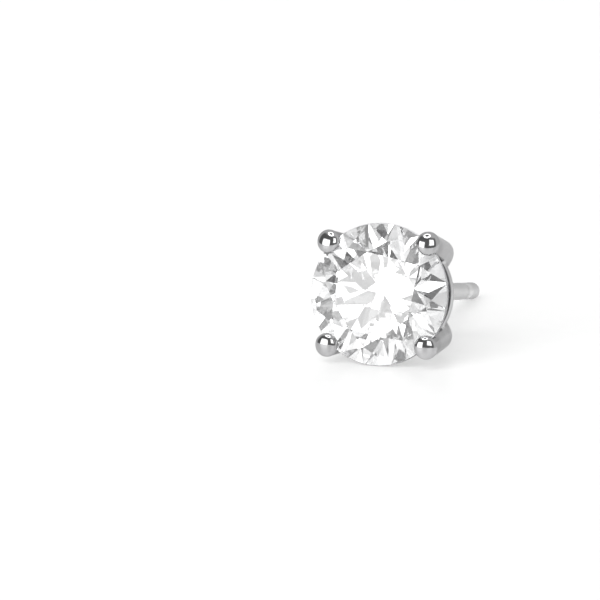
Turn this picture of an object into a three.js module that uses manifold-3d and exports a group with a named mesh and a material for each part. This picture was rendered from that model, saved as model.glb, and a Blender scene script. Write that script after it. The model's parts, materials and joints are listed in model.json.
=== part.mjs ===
// A stud earring: one round brilliant stone held by a four-claw wire basket with a soldered ear post.
// Millimetres, +Z up. The stud lies on a flat surface at z = 0 as it does by itself: on the lowest flat of
// the stone's girdle and on the toe of the post. The stone looks along -Y and a little up, and the post
// runs to +Y.
import * as THREE from "three";
import { mergeVertices } from "three/addons/utils/BufferGeometryUtils.js";
import Module from "manifold-3d";

const wasm = await Module();
wasm.setup();

// Stone: proportions of a standard round brilliant, as shares of its diameter where they have no unit.
const STONE_DIAMETER = 6.5;
const TABLE_SHARE = 0.6; // table width, corner to corner
const GIRDLE_SHARE = 0.042; // girdle thickness at its thick points
const STAR_LENGTH_SHARE = 0.455; // of the way from the table edge to the girdle
const LOWER_HALF_SHARE = 0.72; // of the way from the girdle to the culet
const CROWN_ANGLE = THREE.MathUtils.degToRad(31);
const PAVILION_ANGLE = THREE.MathUtils.degToRad(41.7);
const CUT_ROLL = THREE.MathUtils.degToRad(13); // from the right-hand side up to a main facet's middle
const MAIN_FACETS = 8;
const GIRDLE_FLATS = 16;

// Setting. Heights run along the stud's own axis from the middle of the girdle, positive towards the table.
const CLAW_COUNT = 4;
const CLAW_WIRE_RADIUS = 0.54;
const CLAW_TIP = { radius: 3.35, height: 0.43 }; // where the wire ends and its shallow dome begins
const CLAW_DOME_RISE = 0.23;
const CLAW_KNEE = { radius: 2.62, height: -4.08 }; // where the wire turns in under the stone
const CLAW_KNEE_ROUND = 1.1;
const CLAW_FOOT_HEIGHT = -4.3; // where the four wires meet on the axis
const SEAT_GAP = 0.06; // clearance cut round the stone where the claws grip it
const RAIL = { inner: 2.2, outer: 2.7, height: -2.62, tall: 0.46, round: 0.15 };
const BASE = { radius: 1.15, front: -3.95, back: -5, round: 0.2 };
const POST_RADIUS = 0.405;
const POST_TIP_HEIGHT = -14.85;
const POST_TIP_ROUND = 0.28;
const POST_GROOVE = { fromTip: 1.65, width: 0.7, depth: 0.09 };

// Mesh fineness.
const WIRE_SIDES = 14;
const DOME_STEPS = 6;
const WIRE_STEPS = 26;
const ROUND_STEPS = 3;
const RAIL_SEGMENTS = 56;
const POST_SIDES = 16;

// How the stud lies: rolled a little round its own axis.
const LIE_ROLL = THREE.MathUtils.degToRad(2.5);

const stoneRadius = STONE_DIAMETER / 2;
const girdleHalf = (STONE_DIAMETER * GIRDLE_SHARE) / 2;

// Solids

function solidOf(geometry) {
  const bare = geometry.clone();
  bare.deleteAttribute("normal");
  bare.deleteAttribute("uv");
  const merged = mergeVertices(bare);
  return new wasm.Manifold(
    new wasm.Mesh({
      numProp: 3,
      vertProperties: merged.attributes.position.array,
      triVerts: new Uint32Array(merged.index.array),
    }),
  );
}

function geometryOf(solid) {
  const { vertProperties, triVerts } = solid.getMesh();
  const geometry = new THREE.BufferGeometry();
  geometry.setAttribute("position", new THREE.BufferAttribute(vertProperties, 3));
  geometry.setIndex(new THREE.BufferAttribute(triVerts, 1));
  const flat = geometry.toNonIndexed();
  flat.computeVertexNormals();
  return flat;
}

// A solid turned round the stud's axis. The profile's points are [radius, height].
function turned(profile, segments) {
  const points = profile.map(([radius, height]) => new THREE.Vector2(radius, height));
  return solidOf(new THREE.LatheGeometry(points, segments).rotateX(Math.PI / 2));
}

// A quarter circle of profile points round a corner's centre, from one angle to another.
function corner(radius, height, round, fromDegrees, toDegrees) {
  return Array.from({ length: ROUND_STEPS + 1 }, (_, i) => {
    const share = i / ROUND_STEPS;
    const angle = THREE.MathUtils.degToRad(fromDegrees + (toDegrees - fromDegrees) * share);
    return [radius + round * Math.cos(angle), height + round * Math.sin(angle)];
  });
}

// Stone

// A point of the stone at a radius, an azimuth and a height.
function stonePoint(radius, azimuth, height) {
  return new THREE.Vector3(radius * Math.cos(azimuth), radius * Math.sin(azimuth), height);
}

// The lap: a block whose face lies on the facet's plane, outside the stone.
function lap(a, b, c) {
  const lapSize = STONE_DIAMETER * 3;
  const plane = new THREE.Plane().setFromCoplanarPoints(a, b, c);
  if (plane.constant > 0) plane.negate(); // the facet looks away from the stone's centre
  const block = new THREE.BoxGeometry(lapSize, lapSize, lapSize);
  block.translate(0, 0, lapSize / 2 - plane.constant);
  block.applyQuaternion(
    new THREE.Quaternion().setFromUnitVectors(new THREE.Vector3(0, 0, 1), plane.normal),
  );
  return solidOf(block);
}

// Cuts a facet through three points, and its copies round the axis. Mirrored facets come in pairs, one on
// each side of a main facet's middle.
function cutTier(stone, points, mirrored) {
  let cut = stone;
  for (let i = 0; i < MAIN_FACETS; i++) {
    const turn = (i * 2 * Math.PI) / MAIN_FACETS;
    for (const side of mirrored ? [1, -1] : [1]) {
      const placed = points.map(([radius, azimuth, height]) =>
        stonePoint(radius, CUT_ROLL + side * azimuth + turn, height),
      );
      cut = cut.subtract(lap(...placed));
    }
  }
  return cut;
}

function cutStone() {
  const halfStep = Math.PI / MAIN_FACETS;
  const tableRadius = stoneRadius * TABLE_SHARE;
  const tableHeight = girdleHalf + (stoneRadius - tableRadius) * Math.tan(CROWN_ANGLE);
  const inFromRim = (radius) => stoneRadius - radius * Math.cos(halfStep);
  const crownAt = (radius) => girdleHalf + inFromRim(radius) * Math.tan(CROWN_ANGLE);
  const pavilionAt = (radius) => -girdleHalf - inFromRim(radius) * Math.tan(PAVILION_ANGLE);
  const tableEdge = tableRadius * Math.cos(halfStep);
  const starTip = tableEdge + STAR_LENGTH_SHARE * (stoneRadius - tableEdge);
  const lowerTip = stoneRadius * (1 - LOWER_HALF_SHARE);

  // Each facet's three points are [radius, azimuth from the middle of a main facet, height].
  const bezel = [
    [stoneRadius, 0, girdleHalf],
    [starTip, halfStep, crownAt(starTip)],
    [starTip, -halfStep, crownAt(starTip)],
  ];
  const star = [
    [tableRadius, 0, tableHeight],
    [starTip, halfStep, crownAt(starTip)],
    [tableRadius, 2 * halfStep, tableHeight],
  ];
  const upperGirdle = [
    [stoneRadius, 0, girdleHalf],
    [stoneRadius, halfStep, girdleHalf],
    [starTip, halfStep, crownAt(starTip)],
  ];
  const pavilionMain = [
    [stoneRadius, 0, -girdleHalf],
    [lowerTip, halfStep, pavilionAt(lowerTip)],
    [lowerTip, -halfStep, pavilionAt(lowerTip)],
  ];
  const lowerGirdle = [
    [stoneRadius, 0, -girdleHalf],
    [stoneRadius, halfStep, -girdleHalf],
    [lowerTip, halfStep, pavilionAt(lowerTip)],
  ];

  // The rough is a faceted drum as tall as the table. One flat of its rim is straight below.
  const rough = new THREE.CylinderGeometry(
    stoneRadius / Math.cos(Math.PI / GIRDLE_FLATS),
    stoneRadius / Math.cos(Math.PI / GIRDLE_FLATS),
    2 * tableHeight + STONE_DIAMETER,
    GIRDLE_FLATS,
    1,
    false,
    Math.PI / GIRDLE_FLATS,
  );
  rough.rotateX(Math.PI / 2).translate(0, 0, -STONE_DIAMETER / 2);

  let stone = solidOf(rough);
  stone = cutTier(stone, bezel, false);
  stone = cutTier(stone, star, false);
  stone = cutTier(stone, upperGirdle, true);
  stone = cutTier(stone, pavilionMain, false);
  stone = cutTier(stone, lowerGirdle, true);
  return stone;
}

// Setting

// The middle line of one claw, from its domed tip down to the foot on the axis.
function clawLine() {
  const tip = new THREE.Vector3(CLAW_TIP.radius, 0, CLAW_TIP.height);
  const knee = new THREE.Vector3(CLAW_KNEE.radius, 0, CLAW_KNEE.height);
  const foot = new THREE.Vector3(0, 0, CLAW_FOOT_HEIGHT);
  const towards = (end) => end.clone().sub(knee).setLength(CLAW_KNEE_ROUND).add(knee);
  const line = new THREE.CurvePath();
  line.add(new THREE.LineCurve3(tip, towards(tip)));
  line.add(new THREE.QuadraticBezierCurve3(towards(tip), knee, towards(foot)));
  line.add(new THREE.LineCurve3(towards(foot), foot));
  return line;
}

// One claw: a straight round wire with a domed end is turned, then bent along the claw's line.
function claw() {
  const line = clawLine();
  const length = line.getLength();
  const dome = Array.from({ length: DOME_STEPS }, (_, i) => {
    const angle = (i / DOME_STEPS) * (Math.PI / 2);
    return [CLAW_WIRE_RADIUS * Math.sin(angle), -CLAW_DOME_RISE * Math.cos(angle)];
  });
  const shank = Array.from({ length: WIRE_STEPS + 1 }, (_, i) => [
    CLAW_WIRE_RADIUS,
    (length * i) / WIRE_STEPS,
  ]);
  const profile = [...dome, ...shank, [0, length]].map(([r, along]) => new THREE.Vector2(r, along));
  const wire = new THREE.LatheGeometry(profile, WIRE_SIDES);
  const position = wire.getAttribute("position");
  for (let i = 0; i < position.count; i++) {
    const [across, along, side] = [position.getX(i), position.getY(i), position.getZ(i)];
    const share = THREE.MathUtils.clamp(along / length, 0, 1);
    const tangent = line.getTangentAt(share);
    const outward = new THREE.Vector3(-tangent.z, 0, tangent.x);
    const point = line
      .getPointAt(share)
      .addScaledVector(tangent, along - share * length)
      .addScaledVector(outward, across)
      .add(new THREE.Vector3(0, side, 0));
    position.setXYZ(i, point.x, point.y, point.z);
  }
  return wire;
}

// The gallery rail: a flat band with rounded edges that runs through the claws.
function rail() {
  const { inner, outer, height, tall, round } = RAIL;
  const [low, high] = [height - tall / 2 + round, height + tall / 2 - round];
  const section = [
    ...corner(outer - round, low, round, -90, 0),
    ...corner(outer - round, high, round, 0, 90),
    ...corner(inner + round, high, round, 90, 180),
    ...corner(inner + round, low, round, 180, 270),
  ];
  return turned([...section, section[0]], RAIL_SEGMENTS);
}

// The base button, where the claws meet, and the ear post with its groove, as one turned piece.
function baseAndPost() {
  const { radius, front, back, round } = BASE;
  const tip = POST_TIP_HEIGHT;
  const { fromTip, width, depth } = POST_GROOVE;
  const groove = [
    [POST_RADIUS, tip + fromTip - width / 2],
    [POST_RADIUS - depth, tip + fromTip - width / 4],
    [POST_RADIUS - depth, tip + fromTip + width / 4],
    [POST_RADIUS, tip + fromTip + width / 2],
  ];
  return turned(
    [
      [0, tip],
      ...corner(POST_RADIUS - POST_TIP_ROUND, tip + POST_TIP_ROUND, POST_TIP_ROUND, -90, 0),
      ...groove,
      [POST_RADIUS, back],
      [radius - round, back],
      ...corner(radius - round, back + round, round, -90, 0),
      ...corner(radius - round, front - round, round, 0, 90),
      [0, front],
    ],
    2 * POST_SIDES,
  );
}

function makeSetting(stone) {
  const wire = claw();
  let setting = baseAndPost().add(rail());
  for (let i = 0; i < CLAW_COUNT; i++) {
    const angle = ((i + 0.5) * 2 * Math.PI) / CLAW_COUNT;
    setting = setting.add(solidOf(wire.clone().rotateZ(angle)));
  }
  const seatScale = 1 + SEAT_GAP / stoneRadius;
  const seat = geometryOf(stone).rotateZ(-LIE_ROLL).scale(seatScale, seatScale, seatScale);
  return setting.subtract(solidOf(seat));
}

// Assembly

const stoneMaterial = new THREE.MeshStandardMaterial({ color: 0xf3f4f5, roughness: 0.03, metalness: 0 });
const metalMaterial = new THREE.MeshStandardMaterial({ color: 0xc6c6c8, roughness: 0.14, metalness: 1 });

const cut = cutStone();
const stone = new THREE.Mesh(geometryOf(cut), stoneMaterial);
stone.name = "stone";
stone.rotation.z = -LIE_ROLL; // turned against the claws, so that a flat of the girdle is straight below

const setting = new THREE.Mesh(geometryOf(makeSetting(cut)), metalMaterial);
setting.name = "setting";

// The stud leans back until the girdle and the toe of the post touch the same surface.
const toeHeight = POST_TIP_HEIGHT + POST_TIP_ROUND;
const corners = stone.geometry.getAttribute("position");
let lean = 0;
for (let i = 0; i < corners.count; i++) {
  lean = Math.max(lean, Math.atan2(-corners.getY(i) - POST_RADIUS, corners.getZ(i) - toeHeight));
}
const stud = new THREE.Group();
stud.add(stone, setting);
stud.rotation.set(Math.PI / 2 - lean, 0, LIE_ROLL);

const earring = new THREE.Group();
earring.add(stud);
const box = new THREE.Box3().setFromObject(earring, true);
const middle = box.getCenter(new THREE.Vector3());
stud.position.set(-middle.x, -middle.y, -box.min.z);

export default earring;
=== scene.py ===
# %% [markdown]
# # A stud earring, close up
#
# The object is one stud: a round brilliant stone about six and a half millimetres wide, held by four wire
# claws on a straight ear post. It lies on a white surface, on the rim of the stone and the toe of the post.
# The construction is loaded first and stays fixed. Everything made below stands in the same place, only
# finer: the stone gets its real girdle, the metal gets its solder and its polish, and both get their
# finishes.

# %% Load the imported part
import json
import math

import bmesh
import bpy
import numpy as np
from mathutils import Matrix, Vector


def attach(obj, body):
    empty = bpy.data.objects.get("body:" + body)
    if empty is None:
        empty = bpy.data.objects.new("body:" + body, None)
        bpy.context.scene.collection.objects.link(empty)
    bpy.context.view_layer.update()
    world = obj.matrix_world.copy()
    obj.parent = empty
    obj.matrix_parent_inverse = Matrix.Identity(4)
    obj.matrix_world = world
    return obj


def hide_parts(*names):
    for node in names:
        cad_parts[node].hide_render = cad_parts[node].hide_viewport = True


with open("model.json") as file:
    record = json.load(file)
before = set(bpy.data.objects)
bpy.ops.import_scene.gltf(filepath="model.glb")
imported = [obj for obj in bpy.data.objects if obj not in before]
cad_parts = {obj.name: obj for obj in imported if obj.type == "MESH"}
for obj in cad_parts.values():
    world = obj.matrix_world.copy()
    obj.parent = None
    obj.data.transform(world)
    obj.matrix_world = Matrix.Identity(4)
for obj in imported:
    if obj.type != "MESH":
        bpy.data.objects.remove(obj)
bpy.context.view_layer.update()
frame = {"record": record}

# %% [markdown]
# ## The stud's own frame
#
# A jeweller measures a stud from the stone's girdle and along its own axis, not from the table it lies on.
# So the stone and the metal are made in millimetres round that axis, with the table of the stone looking
# along +Z, and are then laid down by one matrix. The matrix comes from the part itself: its mount is the
# flat back of the base button, and the mount's axis is the stud's axis.

# %% Where the stud lies
MM = 0.001
BASE_BACK = 5.0  # from the middle of the girdle back to the flat back of the base button
LOBE_POINT_OUT = 0.67  # from the stud's axis out to the mount's point on that face
LIE_ROLL = math.radians(2.5)  # the claws lie rolled a little, and the stone's facets don't

lobe_face = next(m for m in frame["record"]["mounts"] if m["name"] == "lobe_face")
forward = -Vector(lobe_face["axis"])
across = Vector((1, 0, 0))
upward = forward.cross(across)
girdle_centre = Vector(lobe_face["pos_m"]) + MM * (BASE_BACK * forward - LOBE_POINT_OUT * upward)
stone_to_row = (
    Matrix.Translation(girdle_centre)
    @ Matrix((across, upward, forward)).transposed().to_4x4()
    @ Matrix.Scale(MM, 4)
)
setting_to_row = stone_to_row @ Matrix.Rotation(LIE_ROLL, 4, "Z")
print("girdle centre in mm:", [round(c / MM, 3) for c in girdle_centre])


# %% [markdown]
# ## The stone
#
# A brilliant is not modelled, it is cut: the rough is turned to a drum, and each facet is one pass against
# a flat lap. The script does the same. It starts with a drum whose rim has many small flats, as a polished
# girdle has, and takes away all that lies outside each facet's plane. Every facet is then exactly flat,
# which matters more here than anywhere else, because a facet is a mirror on the inside. The planes come
# from the few proportions that a grader would quote.

# %% Proportions of the cut
STONE_RADIUS = 3.25
TABLE_SHARE = 0.6
GIRDLE_THICKNESS = 0.273
STAR_LENGTH_SHARE = 0.455
LOWER_HALF_SHARE = 0.72
CROWN_ANGLE = math.radians(31)
PAVILION_ANGLE = math.radians(41.7)
CUT_ROLL = math.radians(13)  # from the right-hand side up to the middle of a main facet
MAIN_FACETS = 8
GIRDLE_FLATS = 96
RIM_SOFTENING = 0.03  # the girdle's two edges are never quite sharp

half_step = math.pi / MAIN_FACETS
girdle_half = GIRDLE_THICKNESS / 2
table_radius = STONE_RADIUS * TABLE_SHARE
table_height = girdle_half + (STONE_RADIUS - table_radius) * math.tan(CROWN_ANGLE)
table_edge = table_radius * math.cos(half_step)
star_tip = table_edge + STAR_LENGTH_SHARE * (STONE_RADIUS - table_edge)
lower_tip = STONE_RADIUS * (1 - LOWER_HALF_SHARE)
culet_depth = girdle_half + STONE_RADIUS * math.tan(PAVILION_ANGLE)


def crown_height(radius):
    """Height of a bezel facet's edge at a radius, half a step away from the facet's middle."""
    return girdle_half + (STONE_RADIUS - radius * math.cos(half_step)) * math.tan(CROWN_ANGLE)


def pavilion_height(radius):
    """Height of a pavilion facet's edge at a radius, half a step away from the facet's middle."""
    return -girdle_half - (STONE_RADIUS - radius * math.cos(half_step)) * math.tan(PAVILION_ANGLE)


star_corner = (star_tip, half_step, crown_height(star_tip))
lower_corner = (lower_tip, half_step, pavilion_height(lower_tip))
print(f"table {2 * table_radius:.2f} mm wide, stone {table_height + culet_depth:.2f} mm deep")

# %% Cut the facets
# A facet is three points: radius, azimuth from the middle of a main facet, height.
# Mirrored facets come in pairs.
FACETS = {
    "bezel": ((STONE_RADIUS, 0, girdle_half), star_corner, (star_tip, -half_step, star_corner[2])),
    "star": ((table_radius, 0, table_height), star_corner, (table_radius, 2 * half_step, table_height)),
    "upper girdle": ((STONE_RADIUS, 0, girdle_half), (STONE_RADIUS, half_step, girdle_half), star_corner),
    "pavilion main": (
        (STONE_RADIUS, 0, -girdle_half), lower_corner, (lower_tip, -half_step, lower_corner[2])
    ),
    "lower girdle": ((STONE_RADIUS, 0, -girdle_half), (STONE_RADIUS, half_step, -girdle_half), lower_corner),
}
MIRRORED = ("upper girdle", "lower girdle")
LAP_TOLERANCE = 1e-5
FACET_LOOKS_AHEAD = 0.6  # the least share of a facet's normal that lies along the axis


def lap(rough, points):
    """Takes away what lies outside the plane through three points, and closes the cut with one flat face."""
    a, b, c = (Vector((r * math.cos(turn), r * math.sin(turn), h)) for r, turn, h in points)
    outward = (b - a).cross(c - a).normalized()
    if outward.dot(a) < 0:
        outward.negate()
    everything = rough.verts[:] + rough.edges[:] + rough.faces[:]
    bmesh.ops.bisect_plane(
        rough, geom=everything, dist=LAP_TOLERANCE, plane_co=a, plane_no=outward, clear_outer=True
    )
    bmesh.ops.edgeloop_fill(rough, edges=[e for e in rough.edges if e.is_boundary])


def is_girdle(face):
    """Facets look well forwards or backwards, and the girdle looks out."""
    return abs(face.normal.z) < FACET_LOOKS_AHEAD


def cut_stone():
    """The stone in millimetres, round its own axis."""
    rough = bmesh.new()
    depth = table_height + 1.2 * culet_depth
    bmesh.ops.create_cone(
        rough,
        cap_ends=True,
        segments=GIRDLE_FLATS,
        radius1=STONE_RADIUS / math.cos(math.pi / GIRDLE_FLATS),
        radius2=STONE_RADIUS / math.cos(math.pi / GIRDLE_FLATS),
        depth=depth,
        matrix=Matrix.Translation((0, 0, table_height - depth / 2))
        @ Matrix.Rotation(math.pi / GIRDLE_FLATS, 4, "Z"),
    )
    for name, points in FACETS.items():
        for i in range(MAIN_FACETS):
            for side in (1, -1) if name in MIRRORED else (1,):
                lap(rough, [(r, CUT_ROLL + side * turn + 2 * i * half_step, h) for r, turn, h in points])
    bmesh.ops.remove_doubles(rough, verts=rough.verts, dist=10 * LAP_TOLERANCE)
    bmesh.ops.recalc_face_normals(rough, faces=rough.faces)
    rim = [e for e in rough.edges if len({is_girdle(f) for f in e.link_faces}) == 2]
    bmesh.ops.bevel(rough, geom=rim, offset=RIM_SOFTENING, segments=1, affect="EDGES")
    return rough


def new_piece(name, mesh):
    piece = bpy.data.objects.new(name, mesh)
    bpy.context.scene.collection.objects.link(piece)
    return piece


POLISHED, GIRDLE = 0, 1
stone_cut = cut_stone()
for face in stone_cut.faces:
    face.material_index = GIRDLE if is_girdle(face) else POLISHED
stone_mesh = bpy.data.meshes.new("brilliant")
stone_cut.to_mesh(stone_mesh)
seat_mesh = stone_mesh.copy()
stone_mesh.transform(stone_to_row)
brilliant = new_piece("brilliant", stone_mesh)
polished_count = sum(p.material_index == POLISHED for p in stone_mesh.polygons)
print(f"brilliant: {polished_count} polished facets, {len(stone_mesh.polygons)} faces, closed:",
      all(e.is_manifold for e in stone_cut.edges))
stone_cut.free()


# %% [markdown]
# ## The stone's finish
#
# A colourless stone has almost no surface to see. What shows is light that came in through the crown,
# turned on the pavilion and came out again, so the material is a clear dielectric with the high refractive
# index of such a stone. The facets keep faint polishing marks, which differ a little from place to place,
# and the girdle is left fine-ground.


# %% Facets and girdle
def node(tree, kind, inputs=None, **settings):
    """Adds a node. Inputs are given by name or place, each a value or another node's output to link."""
    made = tree.nodes.new(kind)
    for name, value in settings.items():
        setattr(made, name, value)
    for name, value in (inputs or {}).items():
        if isinstance(value, bpy.types.NodeSocket):
            tree.links.new(value, made.inputs[name])
        else:
            made.inputs[name].default_value = value
    return made


def new_material(name):
    material = bpy.data.materials.new(name)
    material.use_nodes = True
    tree = material.node_tree
    coords = node(tree, "ShaderNodeTexCoord")
    in_mm = node(tree, "ShaderNodeMapping", {"Vector": coords.outputs["Object"], "Scale": (1000, 1000, 1000)})
    return material, tree, tree.nodes["Principled BSDF"].inputs, in_mm.outputs[0]


def varied(tree, where, scale, low, high, detail=3):
    """A soft noise that runs between two numbers or two colours."""
    noise = node(tree, "ShaderNodeTexNoise", {"Vector": where, "Scale": scale, "Detail": detail})
    if isinstance(low, tuple):
        mix = node(tree, "ShaderNodeMix", {0: noise.outputs["Fac"]}, data_type="RGBA")
        mix.inputs[6].default_value = (*low, 1)
        mix.inputs[7].default_value = (*high, 1)
        return mix.outputs[2]
    return node(tree, "ShaderNodeMapRange", {"Value": noise.outputs["Fac"], "From Min": 0.3, "From Max": 0.7,
                                             "To Min": low, "To Max": high}).outputs[0]


def facet_finish():
    material, tree, shader, where = new_material("polished_facets")
    tree.links.new(varied(tree, where, 0.8, (0.985, 0.99, 1.0), (1.0, 1.0, 1.0)), shader["Base Color"])
    tree.links.new(varied(tree, where, 3.0, 0.0, 0.008), shader["Roughness"])
    shader["IOR"].default_value = 2.42
    shader["Transmission Weight"].default_value = 1
    return material


def girdle_finish():
    material, tree, shader, where = new_material("ground_girdle")
    tree.links.new(varied(tree, where, 6.0, (0.10, 0.10, 0.105), (0.24, 0.24, 0.245)), shader["Base Color"])
    tree.links.new(varied(tree, where, 12.0, 0.28, 0.44), shader["Roughness"])
    shader["IOR"].default_value = 2.42
    shader["Transmission Weight"].default_value = 0.4
    return material


for finish in (facet_finish(), girdle_finish()):
    stone_mesh.materials.append(finish)
print("stone finishes:", [m.name for m in stone_mesh.materials])

# %% [markdown]
# ## The metal's finish
#
# White gold is plated and buffed, so the claw tips are mirrors, though not perfect ones: the buff leaves a
# soft unevenness. The sides of the basket are harder to reach and keep a satin skin with hair-fine lines
# along the wire, and the post is paler still, as drawn wire is. The places where one finish gives way to the
# next lie along the stud's axis, so the material measures along that axis, in millimetres. Where the metal
# looks at the stone behind the girdle, its colour is darkened as painted shade.


# %% Buffed white metal
SATIN_STARTS, SATIN_FULL = -0.1, -0.9  # along the stud's axis, from the middle of the girdle
POST_PALE_STARTS, POST_PALE_FULL = -5.0, -5.6
MIRROR_DARK, MIRROR_LIGHT = (0.32, 0.32, 0.325), (0.62, 0.62, 0.625)
SATIN_TONE, SATIN_SHARE, SATIN_ROUGHNESS = (0.85, 0.85, 0.855), 0.4, 0.15
DRAWN_TONE, DRAWN_SHARE, DRAWN_ROUGHNESS = (0.9, 0.9, 0.9), 0.6, 0.15
# The colour of the painted shade on the metal that looks at the stone, behind the girdle.
PAINTED_SHADE_TONE = (0.08, 0.08, 0.085)
LINES_ON_TIPS, LINES_ON_SIDES = 0.04, 0.3  # how strongly the hair-fine lines show


def metal_finish():
    material, tree, shader, where = new_material("buffed_white_metal")
    along = node(tree, "ShaderNodeVectorMath", {0: where, 1: forward}, operation="DOT_PRODUCT")
    girdle_along = girdle_centre.dot(forward) / MM

    def from_to(start, end, low, high):
        """A number that runs from low to high between two places along the axis."""
        return node(tree, "ShaderNodeMapRange", {"Value": along.outputs["Value"],
                                                 "From Min": girdle_along + start,
                                                 "From Max": girdle_along + end, "To Min": low,
                                                 "To Max": high}).outputs[0]

    def mixed(share, first, second):
        mix = node(tree, "ShaderNodeMix", {0: share}, data_type="RGBA")
        tree.links.new(first, mix.inputs[6])
        mix.inputs[7].default_value = (*second, 1)
        return mix.outputs[2]

    plated = varied(tree, where, 1.6, MIRROR_DARK, MIRROR_LIGHT, detail=6)
    satin_skin = mixed(from_to(SATIN_STARTS, SATIN_FULL, 0, SATIN_SHARE), plated, SATIN_TONE)
    # Painted shade: the metal's colour is darkened where it looks at the stone, behind the girdle.
    painted_shade = node(tree, "ShaderNodeAttribute", attribute_name="painted_shade").outputs["Fac"]
    painted_shade_skin = mixed(painted_shade, satin_skin, PAINTED_SHADE_TONE)
    drawn = mixed(from_to(POST_PALE_STARTS, POST_PALE_FULL, 0, DRAWN_SHARE), painted_shade_skin, DRAWN_TONE)
    tree.links.new(drawn, shader["Base Color"])

    satin = from_to(SATIN_STARTS, SATIN_FULL, 0, SATIN_ROUGHNESS)
    buffed = varied(tree, where, 2.6, 0.03, 0.06)
    dull = node(tree, "ShaderNodeMath", {0: satin, 1: buffed}, operation="ADD").outputs[0]
    pale = from_to(POST_PALE_STARTS, POST_PALE_FULL, 0, DRAWN_ROUGHNESS)
    rough = node(tree, "ShaderNodeMath", {0: dull, 1: pale}, operation="ADD").outputs[0]
    tree.links.new(rough, shader["Roughness"])

    stretched = node(tree, "ShaderNodeMapping", {"Vector": where, "Scale": (26, 3, 26)})
    lines = node(tree, "ShaderNodeTexNoise", {"Vector": stretched.outputs[0], "Scale": 1.0, "Detail": 4})
    strength = from_to(SATIN_STARTS, SATIN_FULL, LINES_ON_TIPS, LINES_ON_SIDES)
    bump = node(tree, "ShaderNodeBump",
                {"Height": lines.outputs["Fac"], "Distance": 0.00002, "Strength": strength})
    tree.links.new(bump.outputs[0], shader["Normal"])
    shader["Specular Tint"].default_value = (0.6, 0.6, 0.6, 1)
    shader["Metallic"].default_value = 1
    return material


white_metal = metal_finish()
print("setting finish:", white_metal.name)

# %% [markdown]
# ## The wire work
#
# The setting starts as wire: four equal claws, each one straight length bent in at the knee, a flat ring
# for the gallery rail, and a button with a pin. Claws follow a path and repeat round an axis, so Geometry
# Nodes make them. The tree takes the bent line as its curve, rounds the knee, sweeps a round section along
# it and turns copies round the axis. It also gives the rail, the button and the post, so the whole blank
# comes out of one tree.

# %% Sizes of the wire work
CLAWS = 4
WIRE_RADIUS = 0.54
CLAW_TIP = Vector((3.35, 0, 0.43))
CLAW_KNEE = Vector((2.62, 0, -4.08))
CLAW_FOOT = Vector((0, 0, -4.3))
KNEE_TANGENT = 1.1  # the bend starts and ends this far from the knee's corner
DOME_RISE = 0.23
RAIL_MIDDLE, RAIL_HALF_WIDTH = 2.45, 0.25
RAIL_HEIGHT, RAIL_HALF_TALL, RAIL_ROUND = -2.62, 0.23, 0.15
BASE_RADIUS, BASE_FRONT, BASE_ROUND = 1.15, -3.95, 0.2
POST_RADIUS, POST_TIP, POST_TIP_ROUND = 0.405, -14.85, 0.28
GROOVE_FROM_TIP, GROOVE_WIDTH, GROOVE_DEPTH = 1.65, 0.7, 0.09

to_tip = (CLAW_TIP - CLAW_KNEE).normalized()
to_foot = (CLAW_FOOT - CLAW_KNEE).normalized()
knee_half_angle = to_tip.angle(to_foot) / 2
knee_radius = KNEE_TANGENT * math.tan(knee_half_angle)
knee_bend = 180 - math.degrees(2 * knee_half_angle)
print(f"claw bends through {knee_bend:.0f} degrees on a {knee_radius:.2f} mm radius")


# %% The tree that makes the blank
SOCKETS = {int: "NodeSocketInt", float: "NodeSocketFloat", bpy.types.Material: "NodeSocketMaterial"}


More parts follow.
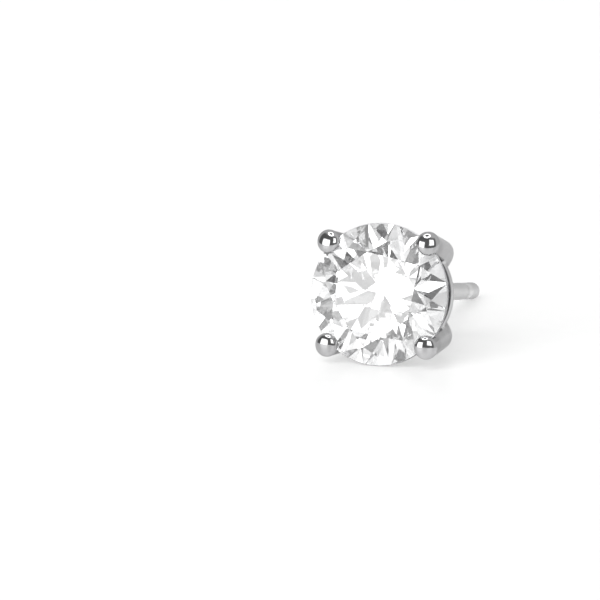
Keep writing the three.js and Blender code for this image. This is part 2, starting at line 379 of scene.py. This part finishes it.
def blank_tree():
    tree = bpy.data.node_groups.new("wire_blank", "GeometryNodeTree")
    tree.interface.new_socket("Geometry", in_out="INPUT", socket_type="NodeSocketGeometry")
    sizes = {
        "Claws": CLAWS,
        "Wire Radius": WIRE_RADIUS,
        "Knee Radius": knee_radius,
        "Rail Radius": RAIL_MIDDLE,
        "Rail Width": 2 * RAIL_HALF_WIDTH,
        "Rail Tall": 2 * RAIL_HALF_TALL,
        "Rail Height": RAIL_HEIGHT,
        "Base Radius": BASE_RADIUS,
        "Post Radius": POST_RADIUS,
        "Finish": white_metal,
    }
    for name, size in sizes.items():
        tree.interface.new_socket(name, in_out="INPUT", socket_type=SOCKETS[type(size)])
    tree.interface.new_socket("Geometry", in_out="OUTPUT", socket_type="NodeSocketGeometry")
    given = tree.nodes.new("NodeGroupInput").outputs

    line = node(tree, "GeometryNodeMeshToCurve", {"Mesh": given["Geometry"]})
    bent = node(tree, "GeometryNodeFilletCurve",
                {"Curve": line.outputs[0], "Radius": given["Knee Radius"], "Count": 24}, mode="POLY")
    section = node(tree, "GeometryNodeCurvePrimitiveCircle",
                   {"Resolution": 32, "Radius": given["Wire Radius"]})
    claw = node(tree, "GeometryNodeCurveToMesh",
                {"Curve": bent.outputs[0], "Profile Curve": section.outputs[0], "Fill Caps": True})
    copies = node(tree, "GeometryNodeDuplicateElements",
                  {"Geometry": node(tree, "GeometryNodeGeometryToInstance", {0: claw.outputs[0]}).outputs[0],
                   "Amount": given["Claws"]}, domain="INSTANCE")
    share = node(tree, "ShaderNodeMath", {0: copies.outputs["Duplicate Index"], 1: given["Claws"]},
                 operation="DIVIDE")
    turn = node(tree, "ShaderNodeMath", {0: share.outputs[0], 1: 2 * math.pi, 2: math.pi / 4},
                operation="MULTIPLY_ADD")
    turned = node(tree, "GeometryNodeRotateInstances",
                  {"Instances": copies.outputs[0],
                   "Rotation": node(tree, "ShaderNodeCombineXYZ", {"Z": turn.outputs[0]}).outputs[0],
                   "Local Space": False})

    ring = node(tree, "GeometryNodeCurvePrimitiveCircle", {"Resolution": 96, "Radius": given["Rail Radius"]})
    band = node(tree, "GeometryNodeCurvePrimitiveQuadrilateral",
                {"Width": given["Rail Width"], "Height": given["Rail Tall"]})
    rail = node(tree, "GeometryNodeCurveToMesh", {"Curve": ring.outputs[0], "Profile Curve": band.outputs[0]})
    rail_lift = node(tree, "ShaderNodeCombineXYZ", {"Z": given["Rail Height"]})
    rail_placed = node(tree, "GeometryNodeTransform",
                       {"Geometry": rail.outputs[0], "Translation": rail_lift.outputs[0]})

    button = node(tree, "GeometryNodeMeshCylinder",
                  {"Vertices": 64, "Radius": given["Base Radius"], "Depth": BASE_BACK + BASE_FRONT})
    button_placed = node(tree, "GeometryNodeTransform",
                         {"Geometry": button.outputs[0], "Translation": (0, 0, (BASE_FRONT - BASE_BACK) / 2)})
    pin = node(tree, "GeometryNodeMeshCylinder",
               {"Vertices": 48, "Radius": given["Post Radius"], "Depth": CLAW_FOOT.z - POST_TIP})
    pin_placed = node(tree, "GeometryNodeTransform",
                      {"Geometry": pin.outputs[0], "Translation": (0, 0, (CLAW_FOOT.z + POST_TIP) / 2)})

    joined = tree.nodes.new("GeometryNodeJoinGeometry")
    for part in (turned, rail_placed, button_placed, pin_placed):
        tree.links.new(part.outputs[0], joined.inputs[0])
    solid = node(tree, "GeometryNodeRealizeInstances", {0: joined.outputs[0]})
    finish = node(tree, "GeometryNodeSetMaterial",
                  {"Geometry": solid.outputs[0], "Material": given["Finish"]})
    out = tree.nodes.new("NodeGroupOutput")
    tree.links.new(finish.outputs[0], out.inputs[0])
    return tree, sizes


# %% Make the blank
def plain_mesh(piece):
    """What a piece's modifiers make of it, as a mesh of its own."""
    return bpy.data.meshes.new_from_object(piece.evaluated_get(bpy.context.evaluated_depsgraph_get()))


def wire_blank():
    """The wire work in millimetres, its parts still only pushed into each other."""
    claw_line = bpy.data.meshes.new("claw_line")
    claw_line.from_pydata([CLAW_TIP + 0.6 * DOME_RISE * to_tip, CLAW_KNEE, CLAW_FOOT], [(0, 1), (1, 2)], [])
    carrier = new_piece("claw_line", claw_line)
    tree, sizes = blank_tree()
    wires = carrier.modifiers.new("wires", "NODES")
    wires.node_group = tree
    for socket in tree.interface.items_tree:
        if socket.in_out == "INPUT" and socket.name in sizes:
            wires[socket.identifier] = sizes[socket.name]
    blank = plain_mesh(carrier)
    bpy.data.objects.remove(carrier)
    return blank


blank_mesh = wire_blank()
print("blank:", len(blank_mesh.vertices), "points")

# %% [markdown]
# ## Solder and polish
#
# On the bench the wires are soldered, and the solder runs into a small hollow fillet at each joint. Then
# the whole setting is polished, which rounds every edge. A Boolean union would leave knife-sharp joints. So
# the blank is fused by a voxel remesh, which makes one even skin, and each point of that skin is then drawn
# onto an exact description of the metal: a distance to the wires, the rail, the button and the post,
# blended where they meet. The remesh gives the connections and the distance gives the shape, so no trace of
# the voxels is left.

# %% Distance to the metal
SOLDER = 0.22
FOLD = 0.12  # softens the crease where the claws' sides are folded together
GROOVE_SOFTENING = 0.05

arc_centre = CLAW_KNEE + (to_tip + to_foot).normalized() * (KNEE_TANGENT / math.cos(knee_half_angle))


def blended(a, b, fillet):
    """The nearer of two distances, with a hollow fillet where they are equal."""
    share = np.clip(0.5 + 0.5 * (b - a) / fillet, 0, 1)
    return b + (a - b) * share - fillet * share * (1 - share)


def rounded_bar(out, along, half_out, half_along, rounding):
    """Distance to a bar's section, a rectangle with rounded corners."""
    over_out = np.abs(out) - (half_out - rounding)
    over_along = np.abs(along) - (half_along - rounding)
    outside = np.hypot(np.maximum(over_out, 0), np.maximum(over_along, 0))
    return outside + np.minimum(np.maximum(over_out, over_along), 0) - rounding


def claw_distance(out, side, height):
    """Distance to one claw in the plane side = 0: two straight lengths, the bend, the shallow dome."""
    bits = []
    for away, length in ((to_tip, (CLAW_TIP - CLAW_KNEE).length), (to_foot, (CLAW_FOOT - CLAW_KNEE).length)):
        from_knee_out, from_knee_height = out - CLAW_KNEE.x, height - CLAW_KNEE.z
        along = from_knee_out * away.x + from_knee_height * away.z
        off = from_knee_out * away.z - from_knee_height * away.x
        past = np.maximum(along - length, 0) * (WIRE_RADIUS / DOME_RISE if away is to_tip else 1)
        short = np.maximum(KNEE_TANGENT - along, 0)
        bits.append(np.sqrt(off**2 + side**2 + past**2 + short**2))
    arm_out, arm_height = out - arc_centre.x, height - arc_centre.z
    before_tip = arm_out * to_tip.x + arm_height * to_tip.z < 0
    before_foot = arm_out * to_foot.x + arm_height * to_foot.z < 0
    in_bend = before_tip & before_foot
    bend = np.hypot(np.hypot(arm_out, arm_height) - knee_radius, side)
    return np.minimum(np.minimum(*bits), np.where(in_bend, bend, np.inf)) - WIRE_RADIUS


def metal_distance(points):
    x, y, z = points.T
    radius = np.hypot(x, y)
    # All four claws are one claw once the sides are folded together along x and y.
    folded_x, folded_y = np.hypot(x, FOLD), np.hypot(y, FOLD)
    claws = claw_distance((folded_x + folded_y) / math.sqrt(2), (folded_x - folded_y) / math.sqrt(2), z)
    rail = rounded_bar(radius - RAIL_MIDDLE, z - RAIL_HEIGHT, RAIL_HALF_WIDTH, RAIL_HALF_TALL, RAIL_ROUND)
    button = rounded_bar(
        radius, z - (BASE_FRONT - BASE_BACK) / 2, BASE_RADIUS, (BASE_FRONT + BASE_BACK) / 2, BASE_ROUND
    )
    post = rounded_bar(
        radius, z - (CLAW_FOOT.z + POST_TIP) / 2, POST_RADIUS, (CLAW_FOOT.z - POST_TIP) / 2, POST_TIP_ROUND
    )
    groove_radius = (GROOVE_WIDTH**2 / 4 + GROOVE_DEPTH**2) / (2 * GROOVE_DEPTH)
    groove = groove_radius - np.hypot(
        radius - (POST_RADIUS - GROOVE_DEPTH + groove_radius), z - (POST_TIP + GROOVE_FROM_TIP)
    )
    post = -blended(-post, -groove, GROOVE_SOFTENING)
    return blended(blended(blended(claws, rail, SOLDER), button, 1.5 * SOLDER), post, SOLDER)


# %% Fuse the blank and draw it onto the metal's surface
VOXEL = 0.055
REACH = 1e-3


def drawn_onto_metal(points):
    for _ in range(8):
        distance = metal_distance(points)
        slope = np.stack(
            [(metal_distance(points + step) - metal_distance(points - step)) / (2 * REACH)
             for step in REACH * np.eye(3)],
            axis=1,
        )
        steepness = np.maximum((slope**2).sum(axis=1), 0.2)
        points = points - np.clip(distance / steepness, -0.1, 0.1)[:, None] * slope
    return points


def polished_metal(blank):
    """One closed skin of even quads, on the surface that the distance describes."""
    fused = new_piece("fused", blank)
    remesh = fused.modifiers.new("fuse", "REMESH")
    remesh.mode = "VOXEL"
    remesh.voxel_size = VOXEL
    skin = plain_mesh(fused)
    bpy.data.objects.remove(fused)
    points = np.empty(3 * len(skin.vertices))
    skin.vertices.foreach_get("co", points)
    points = drawn_onto_metal(points.reshape(-1, 3))
    skin.vertices.foreach_set("co", points.ravel())
    off = 1000 * np.abs(metal_distance(points)).max()
    print(f"skin: {len(skin.polygons)} quads, farthest point {off:.1f} microns off the metal's surface")
    return skin


setting_mesh = polished_metal(blank_mesh)

# %% [markdown]
# ## The seats
#
# A setter cuts a notch into each claw, lays the girdle in and bends the tip over. The notch is the stone's
# own shape, with a hair of room, so it is taken out of the claws with a Boolean and a slightly larger copy
# of the stone. Its edge is left sharp: the edges are the only ones on the setting that the polish doesn't
# reach.

# %% Cut the seats
SEAT_ROOM = 0.03
SHARP_FROM = math.radians(35)
RAIL_SHADE_OUT, RAIL_SHADE_FADE = 0.22, 0.06  # how far past its middle the rail's front gets painted shade
SHADE_BELOW, SHADE_FADE = 0.15, 0.3  # how far behind the girdle the painted shade starts


def with_seats(metal, seat):
    seat.transform(Matrix.Rotation(-LIE_ROLL, 4, "Z") @ Matrix.Scale(1 + SEAT_ROOM / STONE_RADIUS, 4))
    cutter = new_piece("seat", seat)
    piece = new_piece("claw_basket", metal)
    notch = piece.modifiers.new("notch", "BOOLEAN")
    notch.operation = "DIFFERENCE"
    notch.solver = "MANIFOLD"
    notch.object = cutter
    cut = plain_mesh(piece)
    piece.modifiers.clear()
    piece.data = cut
    bpy.data.objects.remove(cutter)
    return piece


def paint_shade_in_recesses(mesh):
    """Marks the painted shade, a darkening of the metal's colour that stands in for shade: the sides that
    look at the stone, below its girdle.
    """
    count = len(mesh.vertices)
    points, normals = np.empty(3 * count), np.empty(3 * count)
    mesh.vertices.foreach_get("co", points)
    mesh.vertex_normals.foreach_get("vector", normals)
    points, normals = points.reshape(-1, 3), normals.reshape(-1, 3)
    radius = np.hypot(points[:, 0], points[:, 1])
    inward = -(normals[:, :2] * points[:, :2]).sum(axis=1) / np.maximum(radius, 0.01)
    frontward = normals[:, 2] * np.clip((RAIL_MIDDLE + RAIL_SHADE_OUT - radius) / RAIL_SHADE_FADE, 0, 1)
    facing = np.clip(2 * np.maximum(inward, frontward), 0, 1)
    below = np.clip((-SHADE_BELOW - points[:, 2]) / SHADE_FADE, 0, 1) * (radius > POST_RADIUS + 0.1)
    mesh.attributes.new("painted_shade", "FLOAT", "POINT").data.foreach_set("value", facing * below)
    print(f"recesses: {100 * (facing * below > 0.5).mean():.0f} % of the points")


claw_basket = with_seats(setting_mesh, seat_mesh)
# Paints shade into the metal's colour where it looks at the stone.
paint_shade_in_recesses(claw_basket.data)
claw_basket.data.transform(setting_to_row)
claw_basket.data.shade_smooth()
claw_basket.data.set_sharp_from_angle(angle=SHARP_FROM)
claw_basket.data.materials.clear()
claw_basket.data.materials.append(white_metal)
claw_basket.data.polygons.foreach_set("material_index", np.zeros(len(claw_basket.data.polygons), np.int32))
claw_basket.data.calc_loop_triangles()
print("claw basket:", len(claw_basket.data.loop_triangles), "triangles")

# %% [markdown]
# ## The white surface
#
# The stud lies on a smooth white sheet. The sheet is wide, because polished metal shows the surface all the
# way to the horizon, and it has a slight gloss.


# %% Sheet
SHEET_RADIUS = 2.0
SHEET_DARK, SHEET_LIGHT = (0.195, 0.195, 0.195), (0.205, 0.205, 0.205)


def white_sheet():
    disc = bmesh.new()
    bmesh.ops.create_circle(disc, cap_ends=True, segments=96, radius=SHEET_RADIUS)
    mesh = bpy.data.meshes.new("white_sheet")
    disc.to_mesh(mesh)
    disc.free()
    material, tree, shader, where = new_material("white_sheet")
    tree.links.new(varied(tree, where, 0.05, SHEET_DARK, SHEET_LIGHT), shader["Base Color"])
    tree.links.new(varied(tree, where, 0.2, 0.38, 0.44), shader["Roughness"])
    mesh.materials.append(material)
    return new_piece("white_sheet", mesh)


sheet = white_sheet()
print("sheet across in m:", 2 * SHEET_RADIUS)

# %% [markdown]
# ## The light
#
# Polished things show the room more than themselves. Here the room is a pale studio: grey all round, dark
# behind the camera, with two soft panels in front and a ring lamp above. It is drawn as a world, where a
# direction decides the brightness, so that the stone and the claws have something with clear edges to
# reflect.

# %% Studio round the stud
GREY_ROOM, DARK_ROOM = 0.78, 0.18
LEFT_PANEL, RIGHT_PANEL, RING_LAMP = 3.1, 2.4, 4.2
# In degrees. A panel: left, right, low, high, softness of its edge.
# The ring: turn, rise, inner, outer, softness.
DARK_SPAN = (-80, 50, -20, 48, 14)
LEFT_SPAN = (-50, -16, -2, 24, 5)
RIGHT_SPAN = (6, 32, 12, 38, 5)
RING_SPAN = (-20, 60, 9.5, 16.5, 2)


def studio():
    world = bpy.data.worlds.new("studio")
    world.use_nodes = True
    tree = world.node_tree
    looking = node(tree, "ShaderNodeTexCoord").outputs["Generated"]
    direction = node(tree, "ShaderNodeSeparateXYZ", {0: looking}).outputs

    def calc(operation, a, b=0.0):
        return node(tree, "ShaderNodeMath", {0: a, 1: b}, operation=operation).outputs[0]

    def fade(value, near, far):
        """1 up to near, 0 from far on, smooth between them."""
        return node(tree, "ShaderNodeMapRange", {"Value": value, "From Min": near, "From Max": far,
                                                 "To Min": 1.0, "To Max": 0.0},
                    interpolation_type="SMOOTHSTEP").outputs[0]

    # Azimuth runs from -Y towards +X, elevation from the surface up, both in degrees.
    azimuth = calc("DEGREES", calc("ARCTAN2", direction["X"], calc("MULTIPLY", direction["Y"], -1.0)))
    elevation = calc("DEGREES", calc("ARCSINE", direction["Z"]))

    def panel(left, right, low, high, soft):
        inside = []
        for value, start, end in ((azimuth, left, right), (elevation, low, high)):
            off = calc("ABSOLUTE", calc("SUBTRACT", value, (start + end) / 2))
            half = (end - start) / 2
            inside.append(fade(off, half - soft / 2, half + soft / 2))
        return calc("MULTIPLY", *inside)

    def ring(turn, rise, inner, outer, soft):
        turn, rise = math.radians(turn), math.radians(rise)
        aim = (math.sin(turn) * math.cos(rise), -math.cos(turn) * math.cos(rise), math.sin(rise))
        toward = node(tree, "ShaderNodeVectorMath", {0: looking, 1: aim}, operation="DOT_PRODUCT")
        off = calc("DEGREES", calc("ARCCOSINE", toward.outputs["Value"]))
        hole = fade(off, inner - soft / 2, inner + soft / 2)
        return calc("SUBTRACT", fade(off, outer - soft / 2, outer + soft / 2), hole), hole

    ring_lamp, ring_middle = ring(*RING_SPAN)
    dark_room = calc("MAXIMUM", panel(*DARK_SPAN), ring_middle)
    light = calc("SUBTRACT", GREY_ROOM, calc("MULTIPLY", dark_room, GREY_ROOM - DARK_ROOM))
    for shape, strength in (
        (panel(*LEFT_SPAN), LEFT_PANEL),
        (panel(*RIGHT_SPAN), RIGHT_PANEL),
        (ring_lamp, RING_LAMP),
    ):
        light = calc("ADD", light, calc("MULTIPLY", shape, strength))
    tree.links.new(light, tree.nodes["Background"].inputs["Strength"])
    tree.nodes["Background"].inputs["Color"].default_value = (1, 1, 1, 1)
    return world


scene = bpy.context.scene
scene.world = studio()
scene.view_settings.view_transform = "Standard"
scene.cycles.max_bounces = 40
scene.cycles.transmission_bounces = 32
scene.cycles.glossy_bounces = 16
scene.cycles.caustics_reflective = True
scene.cycles.caustics_refractive = True
scene.cycles.use_denoising = True

# %% Light for the sheet
FILL, KEY = 10.5, 6.0


def sheet_light(name, energy, turn, rise, softness):
    """A soft light for the sheet alone, which no mirror shows."""
    light = new_piece(name, bpy.data.lights.new(name, "SUN"))
    light.data.energy = energy
    light.data.angle = math.radians(softness)
    light.rotation_euler = (math.radians(90 - rise), 0, math.radians(turn))
    light.visible_glossy = False
    light.visible_transmission = False
    return light


fill = sheet_light("fill", FILL, turn=0, rise=90, softness=1)
fill.data.use_shadow = False
sheet_light("key", KEY, turn=-14, rise=36, softness=50)
print("world:", scene.world.name, "with", len(scene.world.node_tree.nodes), "nodes")

# %% [markdown]
# ## The camera
#
# The stud is seen from a little to its right and from above, with a long lens, so its two ends are nearly
# in the same scale. The camera is placed from where the middle of the girdle falls in a square picture of
# 600 pixels.

# %% Camera
PICTURE = 600
PIXELS_PER_MM = 22.0
GIRDLE_PIXEL = (379.8, 294.3)
CAMERA_TURN, CAMERA_RISE = math.radians(18.5), math.radians(12.45)
CAMERA_AWAY = 280 * MM

toward_camera = Vector((
    math.sin(CAMERA_TURN) * math.cos(CAMERA_RISE),
    -math.cos(CAMERA_TURN) * math.cos(CAMERA_RISE),
    math.sin(CAMERA_RISE),
))
picture_right = Vector((math.cos(CAMERA_TURN), math.sin(CAMERA_TURN), 0))
picture_up = toward_camera.cross(picture_right)
right_of_middle = (GIRDLE_PIXEL[0] - PICTURE / 2) / PIXELS_PER_MM * MM
above_middle = (PICTURE / 2 - GIRDLE_PIXEL[1]) / PIXELS_PER_MM * MM

camera_data = bpy.data.cameras.new("camera")
camera_data.sensor_width = 36
camera_data.lens = 36 * PIXELS_PER_MM * (CAMERA_AWAY / MM) / PICTURE
camera_data.clip_start = 0.01
camera_data.clip_end = 10
camera = new_piece("camera", camera_data)
aimed_at = girdle_centre - right_of_middle * picture_right - above_middle * picture_up
place = aimed_at + CAMERA_AWAY * toward_camera
camera.matrix_world = Matrix.Translation(place) @ Matrix(
    (picture_right, picture_up, toward_camera)).transposed().to_4x4()
scene.camera = camera
print(f"camera: {camera_data.lens:.0f} mm lens")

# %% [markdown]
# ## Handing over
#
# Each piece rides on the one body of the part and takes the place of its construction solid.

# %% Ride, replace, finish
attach(brilliant, "root")
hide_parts("stone")
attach(claw_basket, "root")
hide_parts("setting")
